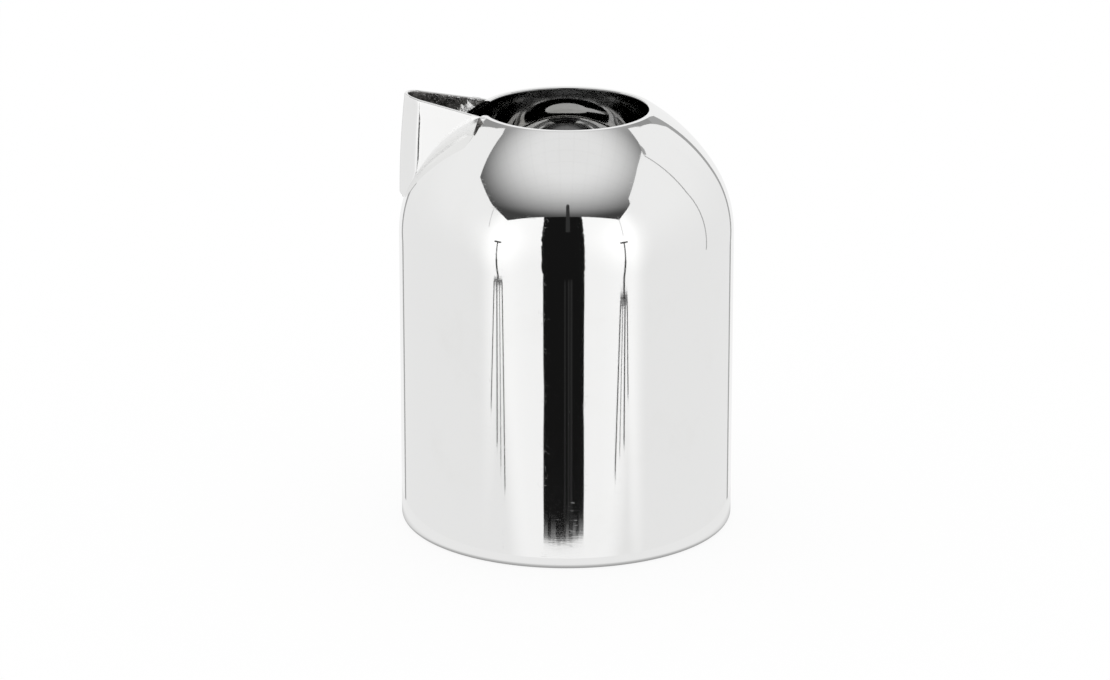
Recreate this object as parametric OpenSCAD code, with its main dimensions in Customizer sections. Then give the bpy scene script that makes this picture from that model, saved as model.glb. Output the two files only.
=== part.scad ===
// Cream jug: a spun round body with a domed shoulder, an open round mouth and a folded beak spout.
// Millimetres. +Z is up, the spout points along -X, the origin is the centre of the underside.

/* [Body] */
// outside diameter of the body
body_d = 76; // [75:0.5:77]
// height of the mouth rim above the table
mouth_h = 96.5; // [96:0.1:97]
// inside diameter of the round mouth
mouth_d = 37; // [35:0.5:38]
// sheet thickness of the spun body
sheet_t = 1; // [0.8:0.1:1.2]
// outside radius of the heel, where the wall turns in under the jug
heel_r = 1.2; // [1.2:0.1:1.6]
// width of the foot ring that stands on the table
foot_w = 3.4; // [3:0.2:5]

/* [Shoulder] */
// height at which the straight wall ends and the shoulder starts
shoulder_z = 67.8; // [67.5:0.1:68.2]
// radius of the lower shoulder arc, next to the wall
low_r = 27.5; // [27:0.1:28]
// radius of the upper shoulder arc, which carries on smoothly to the mouth
crown_r = 45; // [44:0.5:47]

/* [Spout] */
// height of the spout's tip above its meeting with the mouth rim
tip_rise = 3.8; // [3:0.1:5]
// distance of the spout's tip from the body's axis
tip_x = 36.4; // [35.8:0.1:36.6]
// distance from the body's axis at which the spout's top edge comes down to the mouth rim
join_x = 18.4; // [18:0.1:19]
// outside radius of the folded nose
nose_r = 4.6; // [4.4:0.1:5]
// height at which the nose's foot ends on the shoulder
foot_z = 75.5; // [75:0.1:76]
// lean of the nose, which puts its foot further out than its tip
lean_a = 3.1; // [2.8:0.1:3.2]
// thickness of the spout's sheet
spout_t = 0.9; // [0.8:0.1:1]
// width of the ledge of shoulder left inside the spout's walls
ledge_w = 1.4; // [1.3:0.1:1.6]

/* [Base disc] */
// thickness of the flat base disc
disc_t = 1; // [0.8:0.1:1.2]
// gap between the base disc's edge and the wall
disc_gap = 0.1; // [0.05:0.05:0.2]

/* [Brazing] */
// width of the outside seam between spout and shoulder
seam_w = 1; // [0.8:0.1:1.2]
// width of the rough inside seam in the spout's throat
throat_w = 1.2; // [1:0.1:1.2]
// height of the rough inside seam in the spout's throat
throat_h = 1.5; // [1:0.1:2]
// width of the inside seam around the base disc
disc_seam_w = 1.1; // [0.8:0.1:1.4]

/* [Hidden] */
$fn = 96;
far = 120;
body_r = body_d / 2;
inner_r = body_r - sheet_t;
mouth_r = mouth_d / 2;
// direction in which the lower arc hands over to the crown arc, and the centres of the two
turn_s = 0.5376;
turn_c = 0.8432;
low_x = body_r - low_r;
crown_x = low_x + (low_r - crown_r) * turn_c;
crown_z = shoulder_z + (low_r - crown_r) * turn_s;
// direction of the spout's flat walls, to either side of its middle line
wall_s = 0.28;
wall_c = 0.96;
nose_x = nose_r - tip_x;
tip_z = mouth_h + tip_rise;
top_slope = atan(tip_rise / (tip_x - join_x));
wall_end_x = -12;
// base
disc_r = inner_r - disc_gap;
disc_top = sheet_t + disc_t;

// part of a round that lies to the right of the axis, between two heights
module round_slice(cx, cz, r, z0, z1) {
    intersection() {
        translate([cx, cz])
            circle(r);
        translate([0, z0])
            square([far, z1 - z0]);
    }
}

// half section of the jug as if solid, drawn in by inset; a negative inset grows it
module solid_section(inset, foot_z, top_z) {
    turn_z = shoulder_z + (low_r - inset) * turn_s;
    translate([0, foot_z])
        square([body_r - inset, shoulder_z - foot_z]);
    round_slice(low_x, shoulder_z, low_r - inset, shoulder_z, turn_z);
    round_slice(crown_x, crown_z, crown_r - inset, turn_z, top_z);
}

// the jug's outside as a solid, grown outwards by grow
module solid_body(grow) {
    rotate_extrude()
        solid_section(-grow, 50, mouth_h + 3);
}

// the rounded corner cut from under the wall
module heel_cut() {
    difference() {
        translate([body_r - heel_r, -1])
            square([heel_r + 1, heel_r + 1]);
        translate([body_r - heel_r, heel_r])
            circle(heel_r);
    }
}

// plan of the beak: a round nose and two flat walls, drawn in by inset
module beak_plan(inset) {
    r = nose_r - inset;
    tx = nose_x - r * wall_s;
    ty = r * wall_c;
    ey = ty + (wall_end_x - tx) * wall_s / wall_c;
    fx = nose_x - r - 1;
    difference() {
        polygon([
            [tx, ty],
            [wall_end_x, ey],
            [wall_end_x, -ey],
            [tx, -ty],
            [tx, -ty - 1],
            [fx, -ty - 1],
            [fx, ty + 1],
            [tx, ty + 1]
        ]);
        difference() {
            translate([fx - 1, -far / 2])
                square([tx - fx + 1, far]);
            translate([nose_x, 0])
                circle(r);
        }
    }
}

// the beak as a solid that leans out towards its foot, between two heights
module beak_solid(inset, z0, z1) {
    translate([-tip_x, 0, tip_z])
        rotate([0, lean_a, 0])
            translate([tip_x, 0, z0 - tip_z])
                linear_extrude(height = z1 - z0)
                    beak_plan(inset);
}

// all that lies under the beak's slanting top edge
module under_top_edge(drop) {
    translate([-join_x, 0, mouth_h - drop])
        rotate([0, top_slope, 0])
            translate([-40, -40, -60])
                cube([60, 80, 60]);
}

// the round of the mouth, in which no spout sheet stands
module mouth_bore(grow) {
    translate([0, 0, 50])
        cylinder(r = mouth_r + grow, h = 60);
}

// round block in which the beak and its seams lie
module beak_room(foot_z) {
    translate([0, 0, foot_z])
        cylinder(r = body_r, h = 50);
}

// spun wall, shoulder and turned-in foot ring, cut open under the spout
module body_shell() {
    color("silver")
        difference() {
            rotate_extrude()
                difference() {
                    solid_section(0, 0, mouth_h);
                    solid_section(sheet_t, sheet_t, mouth_h + 1);
                    translate([-1, -1])
                        square([body_r - foot_w + 1, sheet_t + 2]);
                    translate([-1, 50])
                        square([mouth_r + 1, far]);
                    heel_cut();
                }
            beak_solid(spout_t + ledge_w, 62, 110);
        }
}

// one sheet folded round a nose, standing on the shoulder
module spout() {
    color("gainsboro")
        difference() {
            intersection() {
                difference() {
                    beak_solid(0, 60, 108);
                    beak_solid(spout_t, 58, 110);
                }
                under_top_edge(0);
                beak_room(foot_z);
            }
            solid_body(0);
            mouth_bore(0.6);
        }
}

// bead in the outside corner between the spout's walls and the shoulder
module spout_seam() {
    color("darkgray")
        difference() {
            intersection() {
                solid_body(seam_w);
                beak_solid(-seam_w, 60, 108);
                under_top_edge(0.5);
                beak_room(foot_z - seam_w);
            }
            beak_solid(0, 58, 110);
            solid_body(0);
            mouth_bore(0.6);
        }
}

// rough bead inside, over the ledge of shoulder along the spout's walls
module throat_seam() {
    color("dimgray")
        difference() {
            intersection() {
                solid_body(throat_h);
                beak_solid(spout_t, 60, 108);
                under_top_edge(0.5);
            }
            beak_solid(spout_t + throat_w, 58, 110);
            solid_body(0);
            mouth_bore(0.6);
        }
}

// flat disc that lies on the foot ring
module base_disc() {
    color("lightgray")
        translate([0, 0, sheet_t])
            cylinder(r = disc_r, h = disc_t);
}

// bead in the corner between the base disc and the wall
module base_seam() {
    color("gray")
        rotate_extrude()
            polygon([
                [inner_r, disc_top],
                [inner_r - disc_seam_w, disc_top],
                [inner_r, disc_top + disc_seam_w]
            ]);
}

body_shell();
spout();
spout_seam();
throat_seam();
base_disc();
base_seam();
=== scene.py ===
import math

import bmesh
import bpy
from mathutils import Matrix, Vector, noise


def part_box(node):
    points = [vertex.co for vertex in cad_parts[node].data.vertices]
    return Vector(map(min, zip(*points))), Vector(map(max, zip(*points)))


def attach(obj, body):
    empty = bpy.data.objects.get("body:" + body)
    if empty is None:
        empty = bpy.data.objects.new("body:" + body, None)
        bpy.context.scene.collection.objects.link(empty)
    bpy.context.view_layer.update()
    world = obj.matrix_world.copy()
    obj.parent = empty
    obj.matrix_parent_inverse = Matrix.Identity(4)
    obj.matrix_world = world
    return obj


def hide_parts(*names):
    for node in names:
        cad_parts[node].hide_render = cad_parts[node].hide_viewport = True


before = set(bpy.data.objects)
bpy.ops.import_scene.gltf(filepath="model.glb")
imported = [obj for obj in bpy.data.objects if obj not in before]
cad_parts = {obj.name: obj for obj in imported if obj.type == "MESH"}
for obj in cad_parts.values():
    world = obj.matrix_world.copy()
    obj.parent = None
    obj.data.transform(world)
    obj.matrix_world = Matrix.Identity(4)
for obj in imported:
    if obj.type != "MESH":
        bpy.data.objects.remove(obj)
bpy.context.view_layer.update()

MM = 0.001
UP = Vector((0, 0, 1))

# ---- sizes, taken from the frame where a node gives them ----

BODY_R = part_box("body_shell")[1].y
MOUTH_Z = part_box("body_shell")[1].z
TIP_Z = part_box("spout")[1].z
SHEET = 1.0 * MM
MOUTH_R = 18.5 * MM
FOOT_R = 34.6 * MM
HEEL_R = 1.2 * MM
LIP_ROUND_OUT, LIP_ROUND_IN = 0.2 * MM, 0.4 * MM
# the shoulder: two arcs that share a tangent
LOW_R = 27.5 * MM
LOW_Z = 67.8 * MM
LOW_X = BODY_R - LOW_R
CROWN_R = 45.0 * MM
HANDOVER = math.atan2(0.5376, 0.8432)
CROWN_X = LOW_X + (LOW_R - CROWN_R) * math.cos(HANDOVER)
CROWN_Z = LOW_Z + (LOW_R - CROWN_R) * math.sin(HANDOVER)
CROWN_END = math.asin((MOUTH_Z - CROWN_Z) / CROWN_R)
LIP_R = CROWN_X + CROWN_R * math.cos(CROWN_END)
# the spout's plan: a round nose and two flat walls
SPOUT_T = 0.9 * MM
TIP_X = -36.4 * MM
NOSE_R = 4.6 * MM
WALL_SIN, WALL_COS = 0.28, 0.96
NOSE_TURN = math.acos(WALL_SIN)
# the nose's share of a side's run along the plan
NOSE_SHARE = 0.42
JOIN_X = -18.4 * MM
WALL_END_X = -17.3 * MM
TIP_SLOPE = (TIP_Z - MOUTH_Z) / (JOIN_X - TIP_X)
FOOT_Z = 76.0 * MM
FOOT_LEAN = 1.38 * MM
FOOT_SLANT = 0.9 * MM
LEDGE = 1.4 * MM
# the flat base and the fillet round it
DISC_R = 36.88 * MM
DISC_TOP = 2 * SHEET
FILLET = 1.1 * MM

TURNS = 288


# ---- shader bench ----

class Wire:
    """A shader socket on which Python arithmetic adds Math nodes."""

    def __init__(self, bench, socket):
        self.bench = bench
        self.socket = socket

    def __add__(self, other):
        return self.bench.sum("ADD", self, other)

    def __sub__(self, other):
        return self.bench.sum("SUBTRACT", self, other)

    def __rsub__(self, other):
        return self.bench.sum("SUBTRACT", other, self)

    def __mul__(self, other):
        return self.bench.sum("MULTIPLY", self, other)

    def __truediv__(self, other):
        return self.bench.sum("DIVIDE", self, other)

    def __pow__(self, other):
        return self.bench.sum("POWER", self, other)

    __radd__ = __add__
    __rmul__ = __mul__


class Bench:
    """A node tree and the one way nodes are put in it."""

    def __init__(self, tree):
        self.tree = tree
        tree.nodes.clear()

    def node(self, kind, settings=None, feeds=None, out=0):
        """A node of a kind; settings come first, then the values or links of its sockets."""
        made = self.tree.nodes.new(kind)
        for key, value in (settings or {}).items():
            setattr(made, key, value)
        for key, value in (feeds or {}).items():
            if isinstance(value, Wire):
                self.tree.links.new(value.socket, made.inputs[key])
            else:
                made.inputs[key].default_value = value
        return Wire(self, made.outputs[out]) if len(made.outputs) else None

    def sum(self, operation, a, b):
        """A Math node on two values."""
        return self.node("ShaderNodeMath", {"operation": operation}, {0: a, 1: b})

    def clip(self, value):
        return self.node("ShaderNodeClamp", None, {"Value": value})

    def band(self, value, low, high):
        """0 below low, 1 above high, smooth between; high may be the smaller."""
        if high < low:
            return 1 - self.band(value, high, low)
        return self.node("ShaderNodeMapRange", {"interpolation_type": "SMOOTHSTEP"},
                         {"Value": value, "From Min": low, "From Max": high})

    def blend(self, share, a, b):
        """From colour a to colour b."""
        return self.node("ShaderNodeMix", {"data_type": "RGBA"}, {0: share, 6: a, 7: b}, out=2)

    def place(self):
        """Object coordinates."""
        return self.node("ShaderNodeTexCoord", out=3)

    def split(self, vector):
        """The vector's x, y and z."""
        made = self.node("ShaderNodeSeparateXYZ", None, {0: vector})
        return [Wire(self, part) for part in made.socket.node.outputs]

    def stretch(self, vector, x, y, z):
        return self.node("ShaderNodeVectorMath", {"operation": "MULTIPLY"},
                         {0: vector, 1: (x, y, z)})

    def grain(self, vector, scale, detail=2.0, rough=0.5):
        return self.node("ShaderNodeTexNoise", None,
                         {"Vector": vector, "Scale": scale, "Detail": detail, "Roughness": rough})


def grey(shade):
    return (shade, shade, shade, 1)


def new_finish(name):
    made = bpy.data.materials.new(name)
    made.use_nodes = True
    return made, Bench(made.node_tree)


def metal(bench, colour, roughness, bumps):
    """A metal surface; bumps are (height, depth in metres) pairs laid one on another."""
    normal = None
    for height, depth in bumps:
        feeds = {"Height": height, "Distance": depth, "Strength": 1.0}
        if normal:
            feeds["Normal"] = normal
        normal = bench.node("ShaderNodeBump", None, feeds)
    surface = bench.node("ShaderNodeBsdfPrincipled", None,
                         {"Base Color": colour, "Metallic": 1.0, "Roughness": roughness,
                          "Normal": normal})
    bench.node("ShaderNodeOutputMaterial", None, {"Surface": surface})


def hairlines(bench, place, along, across, share):
    """Fine straight scratches: 1 on a scratch, 0 off it."""
    lines = bench.grain(bench.stretch(place, *along), across, 1.0)
    patches = bench.grain(place, 160.0, 2.0)
    return bench.band(lines, 1 - share, 1 - share + 0.03) * bench.band(patches, 0.48, 0.62)


def polished_silver(name, shade=0.945, wear=0.4, filed=0.0):
    """Hand-polished silver: bright, with buffing haze, hairlines, a breath of tarnish and painted
    shade at the heel.
    """
    made, bench = new_finish(name)
    place = bench.place()
    z = bench.split(place)[2]
    haze = bench.grain(place, 45.0, 3.0)
    tarnish = bench.band(bench.grain(place, 70.0, 4.0, 0.6), 0.5, 0.8)
    wiping = bench.grain(bench.stretch(place, 1, 1, 9), 260.0, 3.0)
    level_lines = hairlines(bench, place, (0.35, 0.35, 14), 900.0, 0.3)
    steep_lines = hairlines(bench, place, (14, 9, 0.5), 800.0, 0.28)
    scratches = bench.clip(level_lines + steep_lines)
    # the heel band paints shade into the colour where the jug meets the floor, and also roughens
    # the heel
    heel = bench.band(z, 1.6 * MM, 0.2 * MM)
    colour = bench.blend(tarnish * (0.35 * wear), (shade, shade, shade * 0.995, 1),
                         (shade * 0.86, shade * 0.85, shade * 0.82, 1))
    colour = bench.blend(heel * 0.5, colour, grey(shade * 0.72))
    roughness = bench.clip(0.022 + filed * 0.19 + haze * 0.02 + wiping * 0.012
                           + scratches * (0.07 * wear) + heel * 0.16)
    facets = bench.grain(place, 420.0, 3.0, 0.6)
    metal(bench, colour, roughness, [(wiping, 0.0006 * MM), (scratches, -0.0006 * MM),
                                     (facets, 0.02 * MM * filed)])
    return made


# patches of painted shade inside: where each sets in across x and up z, from and to, in
# millimetres
INNER_SHADE_PATCHES = ((-6.5, -8.5, 88, 89.5), (6, 8, 89.8, 91), (10.5, 12.5, 87.5, 89))


# the inside's shade sits below the outside's: partly its duller spun finish, partly painted shade
# of the hollow
def spun_silver(name, shade=0.74):
    """The inside as it leaves the lathe: bright, with close turning lines; painted shade darkens
    and dulls it under the mouth's edge, in a strip down the far wall and in a few patches."""
    made, bench = new_finish(name)
    place = bench.place()
    x, y, z = bench.split(place)
    # a strip of painted shade down the far inner wall
    far_wall_shade = (bench.band(x * x, (6 * MM) ** 2, (4 * MM) ** 2) * bench.band(y, 0.0, 5 * MM)
              * bench.band(z, 85 * MM, 84.2 * MM) * bench.band(z, 60 * MM, 70 * MM))
    # skin here is painted shade: under the mouth's edge, in the far wall's strip and in the
    # patches
    skin = bench.band(z, 92.2 * MM, 93.4 * MM) + far_wall_shade * 0.9
    for x_from, x_to, z_from, z_to in INNER_SHADE_PATCHES:
        across = bench.band(x, x_from * MM, x_to * MM)
        skin = skin + across * bench.band(z, z_from * MM, z_to * MM)
    skin = bench.clip(skin)
    turning = bench.grain(bench.stretch(place, 0.04, 0.04, 1), 1500.0, 2.0)
    clouds = bench.grain(place, 60.0, 4.0, 0.6)
    colour = bench.blend(bench.band(clouds, 0.4, 0.75), grey(shade),
                         (shade * 0.8, shade * 0.79, shade * 0.76, 1))
    # painted shade: the colour darkens to a fifth where skin lies
    colour = bench.blend(skin * 0.85, colour, grey(shade * 0.2))
    roughness = 0.012 + clouds * 0.02 + turning * 0.008 + skin * 0.12
    metal(bench, colour, roughness, [(turning, 0.0001 * MM), (clouds, 0.0005 * MM)])
    return made


# the base's top sits darker than the outside silver: partly its duller turned finish, partly
# painted shade of the hollow it lies in
def disc_silver(name, shade=0.76):
    """The base: rings of turning lines about its centre."""
    made, bench = new_finish(name)
    place = bench.place()
    x, y = bench.split(place)[:2]
    radius = (x * x + y * y) ** 0.5
    rings = bench.node("ShaderNodeTexNoise", {"noise_dimensions": "1D"},
                       {"W": radius, "Scale": 3200.0, "Detail": 2.0})
    clouds = bench.grain(place, 90.0, 4.0, 0.6)
    colour = bench.blend(bench.band(clouds, 0.4, 0.75), grey(shade), grey(shade * 0.8))
    roughness = 0.012 + clouds * 0.015 + rings * 0.008
    metal(bench, colour, roughness, [(rings, 0.0002 * MM), (clouds, 0.0005 * MM)])
    return made


def raw_silver(name):
    """Silver left as the torch left it: pits, burrs under the top edge, a near-black colour that
    paints the shade inside the spout, and painted glints.
    """
    made, bench = new_finish(name)
    place = bench.place()
    x, y, z = bench.split(place)
    pits = bench.grain(place, 1500.0, 4.0, 0.7)
    skin = bench.grain(place, 420.0, 3.0, 0.6)
    # bright specks: painted glints
    specks = bench.band(bench.grain(place, 2300.0, 2.0), 0.6, 0.68)
    under_edge = z - MOUTH_Z - (JOIN_X - x) * TIP_SLOPE
    burred = (bench.band(under_edge, -1.4 * MM, -0.5 * MM) * bench.band(x, -31.5 * MM, -29.5 * MM)
              * bench.band(y, 0.0, 1 * MM))
    # the burrs are bumps whose tops are painted as glints
    burrs = bench.band(bench.grain(place, 850.0, 3.0, 0.6), 0.5, 0.56) * burred
    bright = bench.clip(specks * 0.7 + burrs)
    # near-black colour: painted shade inside the spout, with random tone
    colour = bench.blend(bench.band(skin, 0.38, 0.66), (0.07, 0.068, 0.065, 1),
                         (0.34, 0.33, 0.32, 1))
    # bright: painted glints on the specks and the burrs
    colour = bench.blend(bright, colour, grey(0.85))
    roughness = bench.clip(0.3 + pits * 0.25 - bright * 0.2)
    metal(bench, colour, roughness, [(skin, 0.12 * MM), (pits, 0.05 * MM), (burrs, 0.25 * MM)])
    return made


def raw_braze(name):
    """Silver solder where no buff reaches: lumpy and grey, with painted highlights in random
    spots and over its spill at the far wall's top edge."""
    made, bench = new_finish(name)
    place = bench.place()
    lumps = bench.grain(place, 900.0, 4.0, 0.65)
    x, y = bench.split(place)[:2]
    # a patch of painted highlight over the spill at the far wall's top edge
    spill_glint = bench.band(x, -25 * MM, -22.5 * MM) * bench.band(y, 0.0, 3 * MM)
    bright = bench.clip(bench.band(bench.grain(place, 520.0, 2.0), 0.42, 0.6) + spill_glint)
    colour = bench.blend(bench.band(lumps, 0.35, 0.65), (0.2, 0.195, 0.19, 1),
                         (0.6, 0.59, 0.57, 1))
    # bright: painted highlights
    colour = bench.blend(bright * 0.8, colour, grey(0.92))
    roughness = bench.clip(0.3 + lumps * 0.15 - bright * 0.2)
    metal(bench, colour, roughness, [(lumps, 0.16 * MM)])
    return made


def flowed_braze(name):
    """Silver solder that has flowed to a smooth, bright fillet."""
    made, bench = new_finish(name)
    place = bench.place()
    flow = bench.grain(place, 240.0, 3.0, 0.6)
    dull = bench.band(bench.grain(place, 90.0, 3.0, 0.6), 0.5, 0.8)
    colour = bench.blend(dull, (0.74, 0.73, 0.71, 1), (0.5, 0.49, 0.47, 1))
    metal(bench, colour, 0.02 + flow * 0.03 + dull * 0.05, [(flow, 0.001 * MM)])
    return made


# ---- mesh helpers ----

def corners_of(geom):
    return [g for g in geom if isinstance(g, bmesh.types.BMVert)]


def weld(bm):
    """Merges corners that share a place."""
    bmesh.ops.remove_doubles(bm, verts=bm.verts[:], dist=1e-7)


class Section:
    """Half section drawn as a chain of edges from one corner to the next, then turned about Z."""

    def __init__(self, r, z):
        self.bm = bmesh.new()
        self.start = self.tip = self.bm.verts.new((r, 0, z))

    def run(self, r, z, parts=1):
        """A straight run to a corner, in equal parts."""
        begin = self.tip.co.copy()
        for part in range(1, parts + 1):
            corner = self.bm.verts.new(begin.lerp(Vector((r, 0, z)), part / parts))
            self.bm.edges.new((self.tip, corner))
            self.tip = corner
        return self

    def arc(self, r, z, angle, steps):
        """An arc about a centre; a positive angle turns from outwards to upwards."""
        swept = bmesh.ops.spin(self.bm, geom=[self.tip], cent=(r, 0, z), axis=(0, -1, 0),
                               angle=angle, steps=steps)
        self.tip = corners_of(swept["geom_last"])[0]
        return self

    def close(self):
        self.bm.edges.new((self.tip, self.start))
        return self

    def turn(self, steps=TURNS):
        """The section turned once round."""
        bm = self.bm
        bmesh.ops.spin(bm, geom=bm.verts[:] + bm.edges[:], cent=(0, 0, 0), axis=UP,
                       angle=math.tau, steps=steps, use_merge=True)
        weld(bm)
        bmesh.ops.recalc_face_normals(bm, faces=bm.faces[:])
        return bm


def laid_sheet(along, across, lay, bm=None, second=None):
    """A sheet of along by across faces that looks up; lay(s, t) gives each corner's place, s and t
    from 0 to 1, and second(s, t) says which faces wear the piece's second finish."""
    bm = bm or bmesh.new()
    laid = bmesh.ops.create_grid(bm, x_segments=along, y_segments=across, size=0.5)
    faces = list({face for corner in laid["verts"] for face in corner.link_faces})
    for face in faces:
        middle = face.calc_center_median()
        if second and second(middle.x + 0.5, middle.y + 0.5):
            face.material_index = 1
    for corner in laid["verts"]:
        corner.co = lay(corner.co.x + 0.5, corner.co.y + 0.5)
    bm.normal_update()
    if sum(face.normal.z for face in faces) < 0:
        bmesh.ops.reverse_faces(bm, faces=faces)
    return bm


def ease(value, low, high):
    """0 below low, 1 above high, smooth between."""
    q = min(1.0, max(0.0, (value - low) / (high - low)))
    return q * q * (3 - 2 * q)


def round_edges(bm, edges, width, segments=3):
    bmesh.ops.bevel(bm, geom=edges, offset=width, segments=segments, profile=0.5,
                    affect="EDGES", material=-1)


def set_out(bm, name):
    """The mesh as an object in the scene."""
    mesh = bpy.data.meshes.new(name)
    bm.to_mesh(mesh)
    bm.free()
    made = bpy.data.objects.new(name, mesh)
    bpy.context.scene.collection.objects.link(made)
    return made


def make_piece(bm, name, finishes, slot, *nodes):
    """The finished mesh as an object that rides on the jug and stands for CAD nodes."""
    made = set_out(bm, name)
    smooth_over(made)
    for finish in finishes:
        made.data.materials.append(finish)
    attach(made, "root")
    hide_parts(*nodes)
    return made


def smooth_over(piece, crease=math.radians(38)):
    """Smooth shading with sharp creases, large faces leading."""
    piece.data.shade_smooth()
    piece.data.set_sharp_from_angle(angle=crease)
    weigh = piece.modifiers.new("even_shading", "WEIGHTED_NORMAL")
    weigh.mode = "FACE_AREA"
    weigh.weight = 50
    weigh.keep_sharp = True


# ---- the shoulder as a surface that other pieces stand on ----

def shoulder_z(r):
    """Height of the shoulder's outside at a radius."""
    if r > LOW_X + LOW_R * math.cos(HANDOVER):
        return LOW_Z + math.sqrt(max(LOW_R ** 2 - (r - LOW_X) ** 2, 0.0))
    return CROWN_Z + math.sqrt(CROWN_R ** 2 - (r - CROWN_X) ** 2)


def shoulder_fall(r):
    """Slope of the shoulder at a radius: rise for each step outwards, below 0."""
    centre = LOW_X if r > LOW_X + LOW_R * math.cos(HANDOVER) else CROWN_X
    level = LOW_Z if centre == LOW_X else CROWN_Z
    return -(r - centre) / max(shoulder_z(r) - level, 0.2 * MM)


def under(place, margin=0.02 * MM):
    """Height of the shoulder under a place, which is kept a margin inside the wall."""
    return shoulder_z(min(place.xy.length, BODY_R - margin))


def hand_waves(co):
    """How far the metal stands in from its true surface: slow waves of hand work."""
    slow = noise.noise(Vector((co.x * 46 + 3.1, co.y * 46, co.z * 34 + 7.7)))
    rings = noise.noise(Vector((1.7, co.z * 150 + 0.4, math.hypot(co.x, co.y) * 120)))
    return 0.011 * MM * (1 + slow) + 0.0015 * MM * (1 + rings)


# ---- body ----

def body_section():
    """The spun sheet's half section: foot ring, wall, shoulder, ground lip, and back inside."""
    inner_turn = math.acos((MOUTH_R - CROWN_X) / (CROWN_R - SHEET))
    inner_z = CROWN_Z + (CROWN_R - SHEET) * math.sin(inner_turn)
    section = Section(FOOT_R, 0)
    section.run(BODY_R - HEEL_R, 0, 2).arc(BODY_R - HEEL_R, HEEL_R, math.pi / 2, 10)
    section.run(BODY_R, LOW_Z, 36).arc(LOW_X, LOW_Z, HANDOVER, 26)
    section.arc(CROWN_X, CROWN_Z, CROWN_END - HANDOVER, 30)
    section.run(MOUTH_R, MOUTH_Z, 2).run(MOUTH_R, inner_z, 1)
    section.arc(CROWN_X, CROWN_Z, HANDOVER - inner_turn, 26)
    section.arc(LOW_X, LOW_Z, -HANDOVER, 20)
    return section.run(BODY_R - SHEET, SHEET, 16).run(FOOT_R, SHEET, 1).close()


def round_lip(bm):
    """Rounds the ground lip's two edges, the inner one more."""
    def lies_on(corner, r):
        return abs(corner.co.z - MOUTH_Z) < 1e-6 and abs(corner.co.xy.length - r) < 1e-6

    for r, width in ((LIP_R, LIP_ROUND_OUT), (MOUTH_R, LIP_ROUND_IN)):
        ring = [e for e in bm.edges if all(lies_on(corner, r) for corner in e.verts)]
        round_edges(bm, ring, width)


def work_by_hand(bm):
    """Lays slow waves over the outside, and leaves the lip and the heel true."""
    for corner in bm.verts:
        r, z = corner.co.xy.length, corner.co.z
        skin = shoulder_z(r) if z > LOW_Z else 0
        outside = r > BODY_R - 0.3 * MM or abs(z - skin) < 0.05 * MM
        if outside and z > HEEL_R:
            from_lip = ease(r, LIP_R + 0.4 * MM, LIP_R + 5 * MM)
            from_heel = ease(z, HEEL_R, 26 * MM)
            pull = Vector((corner.co.x, corner.co.y, max(z - LOW_Z, 0))).normalized()
            corner.co -= pull * hand_waves(corner.co) * from_lip * from_heel


def throat_block(low=62 * MM, tall=50 * MM, past_end=6 * MM, steps=40):
    """The block that opens the shoulder under the spout; it runs on past the walls' ends."""
    plan = [plan_point(step / steps, SPOUT_T + LEDGE)[0] for step in range(steps + 1)]
    on = Vector((past_end, past_end * WALL_SIN / WALL_COS, 0))
    plan.insert(0, plan[0] + on)
    plan.append(plan[-1] + Vector((on.x, -on.y, 0)))
    block = bmesh.new()
    floor = block.faces.new([block.verts.new((place.x, place.y, low)) for place in plan])
    raised = bmesh.ops.extrude_face_region(block, geom=[floor])
    bmesh.ops.translate(block, vec=(0, 0, tall), verts=corners_of(raised["geom"]))
    bmesh.ops.recalc_face_normals(block, faces=block.faces[:])
    return block


def make_body(finishes):
    bm = body_section().turn()
    round_lip(bm)
    work_by_hand(bm)
    bm = cut_out(bm, throat_block())
    for face in bm.faces:
        middle = face.calc_center_median()
        inside = face.normal.dot(Vector((middle.x, middle.y, 0)).normalized()) < -0.2
        ceiling = face.normal.z < -0.2 and middle.z > HEEL_R
        spun = (inside or ceiling) and middle.z < MOUTH_Z - 0.3 * MM
        face.material_index = 1 if spun else 0
    return make_piece(bm, "body", finishes, "polished_silver", "body_shell")


def cut_out(blank, tool):
    """The blank's solid less the tool's, as one closed solid."""
    pair = [set_out(blank, "blank"), set_out(tool, "cutter")]
    cut = pair[0].modifiers.new("cut", "BOOLEAN")
    cut.operation = "DIFFERENCE"
    cut.solver = "EXACT"
    cut.object = pair[1]
    bpy.context.view_layer.update()
    result = bpy.data.meshes.new_from_object(
        pair[0].evaluated_get(bpy.context.evaluated_depsgraph_get()))
    bm = bmesh.new()
    bm.from_mesh(result)
    for thing in pair:
        mesh = thing.data
        bpy.data.objects.remove(thing)
        bpy.data.meshes.remove(mesh)
    bpy.data.meshes.remove(result)
    return bm


# ---- spout ----

# the crease: direction of its short flat run, half the turn that the run takes the place of, and
# its depth
CREASE_TURN, CREASE_SPREAD = math.radians(68.8), math.radians(0.9)
CREASE_WAY = Vector((math.sin(CREASE_TURN), -math.cos(CREASE_TURN), 0))
CREASE = 0.42 * MM
# the near side's nose is drawn out a little between these two turns, in this direction
DRAWN_FROM, DRAWN_TO = math.radians(36), math.radians(62)
DRAWN_ALONG = math.radians(58)
DRAWN_WAY = Vector((math.sin(DRAWN_ALONG), -math.cos(DRAWN_ALONG), 0))
DRAWN = 0.85 * MM


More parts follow.
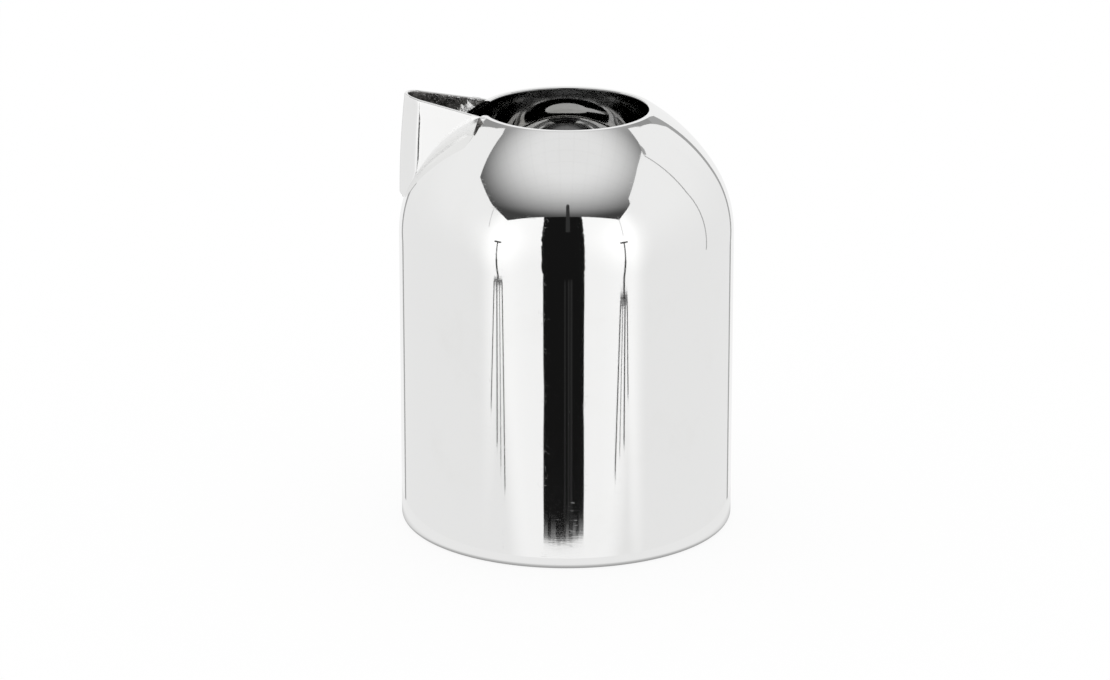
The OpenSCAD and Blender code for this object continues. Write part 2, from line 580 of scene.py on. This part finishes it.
def plan_point(s, inset=0.0, crease=0.0, crease_at=CREASE_TURN):
    """Place and outward direction on the spout's plan; s runs from the far wall round to the near
    one. The crease is a short flat run on the near side, where the nose meets the wall."""
    side = -1 if s > 0.5 else 1
    q = abs(s - 0.5) * 2
    turn = min(q / NOSE_SHARE, 1.0) * NOSE_TURN
    out = Vector((-math.cos(turn), side * math.sin(turn), 0))
    place = Vector((TIP_X + NOSE_R, 0, 0)) + out * (NOSE_R - inset)
    if q >= NOSE_SHARE:
        length = (WALL_END_X - place.x) / WALL_COS * (q - NOSE_SHARE) / (1 - NOSE_SHARE)
        place += Vector((WALL_COS, side * WALL_SIN, 0)) * length
    if side < 0:
        share = min(max((turn - crease_at) / CREASE_SPREAD / 2 + 0.5, 0.0), 1.0)
        drawn = DRAWN * ease(turn, DRAWN_FROM, DRAWN_TO)
        past = max(q - NOSE_SHARE, 0.0) / (1 - NOSE_SHARE)
        place += (CREASE_WAY * (crease * share) + DRAWN_WAY * drawn) * (1 - past)
    return place, out


def lean_share(z):
    """The nose leans: the lower, the further out, and less so towards its foot."""
    drop = min(max((TIP_Z - z) / (TIP_Z - FOOT_Z), 0.0), 1.0)
    return 1 - (1 - drop) ** 2


def leaned(place, out, z):
    """A place of the plan at a height, moved out by the lean."""
    return Vector((place.x + FOOT_LEAN * lean_share(z) * out.x, place.y, z))


def top_z(place):
    """Height of the spout's slanting top edge."""
    return MOUTH_Z + (JOIN_X - place.x) * TIP_SLOPE


def stand_z(place, out):
    """Height at which an upright line through the plan meets the shoulder."""
    z = FOOT_Z
    for _ in range(30):
        z = 0.5 * (z + under(leaned(place, out, z), 0.01 * MM))
    return z


# the sheet's section goes up its outside, over its top, down its inside and back underneath
OUTSIDE_TO, TOP_TO, INSIDE_TO = 0.3, 0.5, 0.8


def spout_profile(t):
    """Where a point of the sheet's section lies: share of its thickness, level, and rounding."""
    if t < OUTSIDE_TO:
        return 0.0, t / OUTSIDE_TO, 0.0
    if t < TOP_TO:
        turn = (t - OUTSIDE_TO) / (TOP_TO - OUTSIDE_TO) * math.pi
        return (1 - math.cos(turn)) / 2, 1.0, math.sin(turn)
    if t < INSIDE_TO:
        return 1.0, (INSIDE_TO - t) / (INSIDE_TO - TOP_TO), 0.0
    turn = (t - INSIDE_TO) / (1 - INSIDE_TO) * math.pi
    return (1 + math.cos(turn)) / 2, 0.0, -math.sin(turn)


def crease_over(z):
    """The crease's depth at a height, and the turn at which it lies on the leaning nose."""
    depth = CREASE * ease(z, 84 * MM, 86 * MM) * ease(-z, -97 * MM, -95.4 * MM)
    turn = math.atan(math.tan(CREASE_TURN) / (1 + lean_share(z) * FOOT_LEAN / NOSE_R))
    return depth, turn


def spout_corner(s, t):
    """The spout's sheet round its whole section; its wall ends dip below the shoulder's skin."""
    depth, level, bend = spout_profile(t)
    low = max(stand_z(*plan_point(s)) - 0.4 * MM, FOOT_Z)
    low += FOOT_SLANT * (1 - depth) * ease(0.62 - abs(2 * s - 1), 0.2, 0.4)
    high = max(top_z(plan_point(s, SPOUT_T * depth)[0]), low + 0.1 * MM)
    rounding = min(0.48 * SPOUT_T, (high - low) * 0.4)
    z = low + rounding + (high - low - 2 * rounding) * level + rounding * bend
    place, out = plan_point(s, SPOUT_T * depth, *crease_over(z))
    return leaned(place, out, z)


def closed_tube(bm):
    """Joins a sheet laid round a section into one skin and caps its two ends."""
    weld(bm)
    bmesh.ops.holes_fill(bm, edges=[e for e in bm.edges if e.is_boundary], sides=0)
    bmesh.ops.recalc_face_normals(bm, faces=bm.faces[:])
    return bm


def make_spout(finishes):
    bm = closed_tube(laid_sheet(420, 50, spout_corner))
    middle = Vector((TIP_X + 12 * MM, 0, 0))
    for face in bm.faces:
        away = face.calc_center_median() - middle
        inner = face.normal.dot(Vector((away.x, away.y, 0)).normalized()) < -0.3
        # inner faces wear the raw finish, whose near-black colour paints the shade inside the
        # spout
        face.material_index = 1 if inner and abs(face.normal.z) < 0.6 else 0
    return make_piece(bm, "spout_sheet", finishes, "polished_silver", "spout")


# where the dressed seam starts and ends, as shares of a side's run from the nose's middle
SEAM_START, SEAM_END = 0.36, 0.936


def seam_reach(q):
    """Width of the dressed seam on the shoulder: it grows from the nose to its abrupt end."""
    rise = ease(q, SEAM_START - 0.1, 0.8) * 2.2 + ease(q, 0.84, 0.92) * 1.3
    return (0.2 + rise * ease(-q, -0.934, -0.922)) * MM


def seam_corner(side):
    """The seam's skin on one side: from the wall (t 0) in a hollow sweep down to the shoulder."""
    def lay(s, t):
        q = SEAM_START + (SEAM_END - SEAM_START) * s
        place, out = plan_point(0.5 - side * q / 2)
        reach = seam_reach(q)
        landing = leaned(place, out, max(stand_z(place, out), FOOT_Z)) + out * reach
        landing.z = under(landing)
        fall = shoulder_fall(landing.xy.length) * out.dot(
            Vector((landing.x, landing.y, 0)).normalized())
        corner = leaned(place, out, landing.z - reach * fall)
        high = leaned(place, out, min(corner.z + reach * 0.95, top_z(place) - 0.05 * MM))
        sweep = high * (1 - t) ** 2 + corner * (2 * t * (1 - t)) + landing * t ** 2
        sink = (1 - 4 * t * (1 - t)) * 0.02 * MM
        return sweep - (out * (1 - t) + UP * t) * sink
    return lay


def make_seam(finishes):
    def undressed(s, t):
        return s > 0.97 and t > 0.1

    bm = bmesh.new()
    for side in (1, -1):
        laid_sheet(120, 16, seam_corner(side), bm, undressed)
    bmesh.ops.solidify(bm, geom=bm.faces[:], thickness=-0.3 * MM)
    bmesh.ops.recalc_face_normals(bm, faces=bm.faces[:])
    return make_piece(bm, "dressed_seam", finishes, "polished_silver", "spout_seam")


def bead_foot(s):
    """Place and outward direction of the bead against the spout's wall, and its foot's height."""
    place, out = plan_point(0.05 + 0.9 * s, SPOUT_T)
    return place, out, max(stand_z(place, out), FOOT_Z + 0.5 * MM)


def bead_skin(s, t):
    """The rough bead inside: from the spout's wall (t 0) down over the ledge of shoulder (t 1)."""
    place, out, foot_z = bead_foot(s)
    q = abs(s - 0.5) * 2
    lump = noise.noise(Vector((s * 40, 2.2, t * 1.6)))
    fine = noise.noise(Vector((s * 110, 9.2, t * 4.0)))
    swell = (1 + 0.55 * lump + 0.25 * fine) * ease(1 - q, 0.0, 0.12)
    spill = 0.8 * ease(q, 0.6, 0.8) * ease(0.5 - s, 0.0, 0.1)
    tall = (2.5 - 1.0 * q + spill) * MM * swell
    wide = (1.2 + 0.3 * lump) * MM
    angle = t * math.pi / 2
    corner = leaned(place, out, foot_z) - out * wide * math.sin(angle)
    corner.z = max(under(corner), foot_z) * t + foot_z * (1 - t) - 0.35 * MM * t
    corner.z += tall * math.cos(angle) * (1 + 0.1 * fine)
    corner.z = min(corner.z, top_z(place) + 0.1 * MM * lump)
    return corner


# the bead's section goes down its skin, in to its root, and back up to the skin's start
SKIN_TO, ROOT_AT = 0.8, 0.9


def bead_corner(s, t):
    """The bead all round: its skin, then back along a root sunk in the sheets."""
    if t <= SKIN_TO:
        return bead_skin(s, t / SKIN_TO)
    place, out, foot_z = bead_foot(s)
    root = leaned(place, out, foot_z - 0.4 * MM) + out * 0.3 * MM
    if t <= ROOT_AT:
        return bead_skin(s, 1.0).lerp(root, (t - SKIN_TO) / (ROOT_AT - SKIN_TO))
    return root.lerp(bead_skin(s, 0.0), (t - ROOT_AT) / (1 - ROOT_AT))


def make_bead(finishes):
    bm = closed_tube(laid_sheet(300, 20, bead_corner))
    return make_piece(bm, "throat_bead", finishes, "raw_braze", "throat_seam")


# ---- base ----

def make_base(finishes, pinhole=0.02 * MM):
    section = Section(pinhole, SHEET).run(DISC_R, SHEET, 12).run(DISC_R, DISC_TOP, 2)
    bm = section.run(pinhole, DISC_TOP, 18).close().turn(160)
    return make_piece(bm, "base_plate", finishes, "satin_silver", "base_disc")


def make_base_seam(finishes):
    wall = BODY_R - SHEET
    section = Section(wall, DISC_TOP).run(wall, DISC_TOP + FILLET, 2)
    section.arc(wall - FILLET, DISC_TOP + FILLET, -math.pi / 2, 14).run(wall, DISC_TOP, 2)
    weld(section.bm)
    bm = section.turn(360)
    for corner in bm.verts:
        in_open = min((wall - corner.co.xy.length) / FILLET, (corner.co.z - DISC_TOP) / FILLET)
        if in_open > 0.02:
            swell = 0.004 * MM * noise.noise(corner.co * 300)
            corner.co -= Vector((corner.co.x, corner.co.y, 0)).normalized() * swell
            corner.co.z += swell
    return make_piece(bm, "base_bead", finishes, "raw_braze", "base_seam")


# ---- studio ----

# metres from the jug's middle: cloth walls with a gap in front, and the room round them
CLOTH_FOOT, CLOTH_RIM = -0.9, 0.5
FRONT_Y = -0.5
LEFT_X, RIGHT_X = -0.51, 0.44
BACK_Y, BACK_RIM = 1.3, 2.19
GAP_Y, GAP_FOOT, GAP_RIM = -0.75, -1.4, 0.72
LOW_CLOTH_TOP, LOW_CLOTH_HALF = -0.1653, 0.3
CEILING_Z, ROOM_R, ROOM_TALL = 2.2, 4.0, 5.0
# half the width of a ceiling tile, and the joint beside it
TILE_HALF, TILE_JOINT = 0.15, 0.012
# the bright spots on the cloth, and the radii of a lamp stand's rods in millimetres
LAMP_LEFT = Vector((-0.5, -0.46, 0.185))
LAMP_RIGHT = Vector((0.42, -0.5, 0.205))
POLE, LOW_POLE, LAMP_HEAD, JOINT_BAR = 4.2, 6, 7, 2.2
LAMP_HEAD_HALF = 0.026
# strengths: white cloth, and what the front, the upper part and the lamps add to it
CLOTH, CLOTH_FRONT, CLOTH_UPPER, CLOTH_LAMP = 0.82, 0.15, 0.06, 0.12
DARK = 0.007


def stage_piece(bm, name, finish, seen_by_camera=False, seen_in_metal=True):
    """A thing that only the polished metal sees, unless it is said to be seen by the camera."""
    made = set_out(bm, name)
    made.data.materials.append(finish)
    made.visible_camera = seen_by_camera
    made.visible_glossy = seen_in_metal
    made.visible_diffuse = False
    made.visible_shadow = False
    made.visible_transmission = seen_in_metal
    return made


def glow(name, strength):
    """A white light of a strength: a number, or a function that makes it on the bench."""
    made, bench = new_finish(name)
    if callable(strength):
        strength = strength(bench)
    light = bench.node("ShaderNodeEmission", None, {"Color": (1, 1, 1, 1), "Strength": strength})
    bench.node("ShaderNodeOutputMaterial", None, {"Surface": light})
    return made


def cloth_wall(name, corners, low, high, finish):
    """Upright cloth along a chain of floor corners."""
    bm = bmesh.new()
    chain = [bm.verts.new((x, y, low)) for x, y in corners]
    edges = [bm.edges.new(pair) for pair in zip(chain, chain[1:])]
    raised = bmesh.ops.extrude_edge_only(bm, edges=edges)
    bmesh.ops.translate(bm, vec=(0, 0, high - low), verts=corners_of(raised["geom"]))
    return stage_piece(bm, name, finish)


def front_cloth(name, outer_x, low_x, high_x, finish):
    """Upright cloth beside the gap; its free edge hangs a little crooked."""
    def lay(s, t):
        z = CLOTH_FOOT + (CLOTH_RIM - CLOTH_FOOT) * t
        climb = min(max((z + 0.15) / (CLOTH_RIM + 0.15), 0.0), 1.0)
        edge = low_x + (high_x - low_x) * climb
        edge += 0.006 * noise.noise(Vector((low_x * 40, z * 30, 2.0)))
        edge += 0.004 * noise.noise(Vector((low_x * 40, z * 220, 5.0)))
        return Vector((outer_x + (edge - outer_x) * s, FRONT_Y, z))
    return stage_piece(laid_sheet(1, 260, lay), name, finish)


def sag(x):
    """How the low cloth's upper edge and its folds hang off level."""
    return x * 0.0124 - x * x * 0.2235


def low_cloth(s, t):
    """The cloth that crosses the gap's foot, with an uneven upper edge."""
    x = LOW_CLOTH_HALF * (2 * s - 1)
    crumple = 0.0006 * noise.noise(Vector((x * 60, 3.0, 0.0)))
    top = LOW_CLOTH_TOP + sag(x) + crumple
    return Vector((x, FRONT_Y + 0.002, CLOTH_FOOT + (top - CLOTH_FOOT) * t))


def cloth_strength(bench):
    """White cloth: palest in front and round the two lamps behind it."""
    place = bench.place()
    x, y, z = bench.split(place)
    low_edge = z - (x * x) ** 0.5 * 0.167
    front = bench.band(y, -0.27, -0.45) * bench.band(low_edge, -0.3, -0.22)
    beside_gap = bench.band(x * x, 0.16, 0.02)
    total = CLOTH + front * (CLOTH_FRONT - beside_gap * 0.04)
    total = total + bench.band(z, 0.0, 0.3) * CLOTH_UPPER
    for lamp in (LAMP_LEFT, LAMP_RIGHT):
        away = bench.node("ShaderNodeVectorMath", {"operation": "DISTANCE"},
                          {0: place, 1: lamp}, out=1)
        total = total + bench.band(away, 0.34, 0.05) * CLOTH_LAMP
    return total


def ceiling_strength(bench):
    """A grey tiled ceiling, palest above the jug; beyond it, towards the back, plain grey."""
    x, y = bench.split(bench.place())[:2]
    away_x, away_y = (x - 0.03) / 1.14, y + 0.24
    away = (away_x * away_x + away_y * away_y) ** 0.5
    back = bench.band(y, 0.9, 1.6) * bench.band(away, 1.0, 1.7)
    tiles = 0.0
    for across in (x, y):
        to_edge = bench.sum("PINGPONG", across, TILE_HALF)
        tiles = bench.band(to_edge, TILE_HALF - TILE_JOINT, TILE_HALF) + tiles
    light = 0.05 + bench.band(away, 2.4, 0.505) * 0.734 + back * 0.24
    return light * (1 - tiles * 0.05)


def fold_strength(bench):
    """Folds of cloth that fade into the dark above."""
    x, _, z = bench.split(bench.place())
    return bench.band(z - sag(x), -0.158, -0.162) * 0.13 + DARK


def stand_top_strength(bench):
    """The stand's white top, in the jug's shade under it."""
    x, y = bench.split(bench.place())[:2]
    radius = (x * x + y * y) ** 0.5
    return bench.band(radius, BODY_R - 3 * MM, BODY_R + 3 * MM) * 0.74 + 0.1


def rod(bm, begin, end, radius):
    """A straight rod; its radius is in millimetres."""
    begin, end = Vector(begin), Vector(end)
    made = bmesh.ops.create_cone(bm, segments=12, radius1=radius * MM, radius2=radius * MM,
                                 depth=(end - begin).length, cap_ends=True)
    turn = (end - begin).to_track_quat("Z", "Y").to_matrix()
    bmesh.ops.rotate(bm, verts=made["verts"], cent=(0, 0, 0), matrix=turn)
    bmesh.ops.translate(bm, verts=made["verts"], vec=(begin + end) / 2)


def rods(*runs):
    """Rods in one mesh, each given as its two ends and its radius."""
    bm = bmesh.new()
    for begin, end, radius in runs:
        rod(bm, begin, end, radius)
    return bm


def lamp_stand(bm, head, joint, joint_half, feet):
    """A lamp on its pole, and the legs that spread from the joint to feet with their radii."""
    head, joint = Vector(head), Vector(joint)
    across = Vector((-joint.y, joint.x, 0)).normalized()
    rod(bm, head, joint, POLE)
    rod(bm, (head + joint) / 2, joint, LOW_POLE)
    rod(bm, head - across * LAMP_HEAD_HALF, head + across * LAMP_HEAD_HALF, LAMP_HEAD)
    rod(bm, joint - across * joint_half, joint + across * joint_half, JOINT_BAR)
    for number, (*foot, radius) in enumerate(feet):
        begin = joint_half * (number / (len(feet) - 1) * 2.1 - 1.05)
        rod(bm, joint + across * begin, foot, radius)


def hang_cloths():
    """White cloth all round, but for the gap in front, which a low cloth crosses."""
    cloth = glow("white_cloth", cloth_strength)
    front_cloth("cloth_front_left", LEFT_X, -0.133, -0.162, cloth)
    front_cloth("cloth_front_right", RIGHT_X, 0.102, 0.111, cloth)
    cloth_wall("cloth_left", [(LEFT_X, FRONT_Y), (-0.47, 0.02), (-0.275, 0.19), (-0.26, 0.23),
                              (-0.31, 0.3), (-0.42, 0.54), (-0.55, 0.85), (-0.66, 1.15)],
               CLOTH_FOOT, CLOTH_RIM, cloth)
    cloth_wall("cloth_right", [(RIGHT_X, FRONT_Y), (0.4, -0.26), (0.37, -0.23), (0.345, 0.0),
                               (0.345, 0.15), (0.26, 0.23), (0.33, 0.36), (0.41, 0.58),
                               (0.54, 0.9), (0.62, 1.12)],
               CLOTH_FOOT, CLOTH_RIM, cloth)
    cloth_wall("cloth_back", [(-0.63, BACK_Y), (0.6, BACK_Y)], CLOTH_FOOT, BACK_RIM,
               glow("back_cloth", 0.9))
    stage_piece(laid_sheet(80, 1, low_cloth), "cloth_low", cloth)
    # the open joints between the cloths
    joints = rods(((0.322, 0.62, -0.2), (0.322, 0.62, 0.3), 6),
                  ((-0.337, 0.614, -0.19), (-0.325, 0.614, -0.01), 8),
                  ((-0.325, 0.614, -0.01), (-0.42, 0.614, 0.09), 9),
                  ((0.342, 0.092, 0.0), (0.342, 0.1, 0.47), 3),
                  ((0.342, 0.112, 0.47), (0.342, 0.19, 0.52), 10))
    stage_piece(joints, "cloth_joints", glow("cloth_joint", 0.35))


def make_room():
    """The grey room beyond the cloths: a tiled ceiling and plain round walls."""
    bm = bmesh.new()
    bmesh.ops.create_grid(bm, x_segments=1, y_segments=1, size=ROOM_R + 0.5)
    bmesh.ops.translate(bm, verts=bm.verts[:], vec=(0, 0, CEILING_Z))
    stage_piece(bm, "room_ceiling", glow("grey_ceiling", ceiling_strength))
    bm = bmesh.new()
    bmesh.ops.create_cone(bm, segments=48, radius1=ROOM_R, radius2=ROOM_R, depth=ROOM_TALL)
    stage_piece(bm, "room_walls", glow("grey_room", 0.37))


def make_lamps():
    """Two lamp stands in front of the cloth, and a thin wire over each."""
    bm = bmesh.new()
    lamp_stand(bm, (-0.439, -0.409, 0.195), (-0.432, -0.417, -0.1075), 0.028,
               [(-0.470, -0.373, -0.1555, 3.0), (-0.440, -0.408, -0.1685, 4.2),
                (-0.420, -0.428, -0.177, 2.4), (-0.398, -0.449, -0.1845, 3.6)])
    lamp_stand(bm, (0.353, -0.435, 0.2), (0.347, -0.439, -0.1018), 0.021,
               [(0.302, -0.471, -0.1645, 3.6), (0.328, -0.455, -0.158, 2.2),
                (0.351, -0.436, -0.154, 4.2), (0.371, -0.419, -0.1365, 3.2)])
    stage_piece(bm, "lamp_stands", glow("lamp_stand", 0.04))
    wires = rods(((-0.493, -0.265, 0.51), (-0.468, -0.308, 0.29), 1.6),
                 ((0.366, -0.423, 0.47), (0.357, -0.431, 0.26), 1.6))
    stage_piece(wires, "lamp_wires", glow("lamp_wire", 0.3))


def gap_fold(bm, x, half):
    """One upright fold behind the low cloth; half is half its width in millimetres."""
    def lay(s, t):
        return Vector((x + (s * 2 - 1) * half * MM, FRONT_Y + 0.001, -0.2 + 0.042 * t))
    laid_sheet(1, 1, lay, bm)


def fill_gap():
    """What is seen in the gap: the dark, a tall pole, a stand's three rods, folds at the foot."""
    cloth_wall("dark_gap", [(-0.4, GAP_Y), (0.4, GAP_Y)], GAP_FOOT, GAP_RIM,
               glow("dark_room", DARK))
    stage_piece(rods(((0.01, -0.55, 0.35), (0.012, -0.55, 0.72), 15)), "gap_pole",
                glow("gap_pole", 0.03))
    rod_y = FRONT_Y - 0.02
    stand = rods(*[((x, rod_y, -0.35), (x, rod_y, -0.08), radius)
                   for x, radius in ((-0.008, 4), (0.014, 5), (0.03, 6))])
    stage_piece(stand, "gap_stand", glow("gap_stand", 0.022))
    folds = bmesh.new()
    for x, half in ((-0.119, 11), (-0.074, 14), (0.006, 8), (0.046, 9), (0.086, 12)):
        gap_fold(folds, x, half)
    stage_piece(folds, "gap_folds", glow("gap_folds", fold_strength))


def flat_round(radius):
    bm = bmesh.new()
    bmesh.ops.create_circle(bm, cap_ends=True, segments=96, radius=radius)
    return bm


def make_table():
    """A pale floor for the eye, and the small white stand top that the metal sees."""
    made, bench = new_finish("pale_floor")
    lit = bench.node("ShaderNodeBsdfDiffuse", None, {"Color": (1, 1, 1, 1)})
    plain = bench.node("ShaderNodeEmission", None, {"Color": (1, 1, 1, 1), "Strength": 1.0})
    mixed = bench.node("ShaderNodeMixShader", None, {0: 0.14, 1: plain, 2: lit})
    bench.node("ShaderNodeOutputMaterial", None, {"Surface": mixed})
    floor = stage_piece(flat_round(6.0), "floor", made, seen_by_camera=True, seen_in_metal=False)
    floor.visible_diffuse = True
    floor.visible_shadow = True
    stage_piece(flat_round(45 * MM), "stand_top", glow("white_stand_top", stand_top_strength))


def make_world():
    """An even white light from all sides."""
    world = bpy.data.worlds.new("studio")
    bpy.context.scene.world = world
    world.use_nodes = True
    bench = Bench(world.node_tree)
    white = bench.node("ShaderNodeBackground", None, {"Color": (1, 1, 1, 1), "Strength": 1.0})
    bench.node("ShaderNodeOutputWorld", None, {"Surface": white})


def make_camera():
    """A long lens a metre in front, looking down on the jug."""
    pitch, yaw = math.radians(17.945), math.radians(0.155)
    data = bpy.data.cameras.new("camera")
    data.sensor_width = 36.0
    data.lens = 143.28
    data.clip_start = 0.01
    data.clip_end = 30
    made = bpy.data.objects.new("camera", data)
    made.location = (0, -0.96135, 0.35302)
    made.rotation_euler = (math.pi / 2 - pitch, 0, yaw)
    bpy.context.scene.collection.objects.link(made)
    bpy.context.scene.camera = made


def build():
    scene = bpy.context.scene
    scene.view_settings.view_transform = "Standard"
    make_camera()
    silver = polished_silver("polished_silver")
    raw = raw_silver("raw_inside")
    make_body([silver, spun_silver("spun_inside")])
    make_spout([silver, raw])
    make_seam([polished_silver("dressed_silver", wear=1.2, filed=1.0), raw])
    make_bead([raw_braze("raw_braze")])
    make_base([disc_silver("turned_base")])
    make_base_seam([flowed_braze("flowed_braze")])
    hang_cloths()
    make_room()
    make_lamps()
    fill_gap()
    make_table()
    make_world()


build()
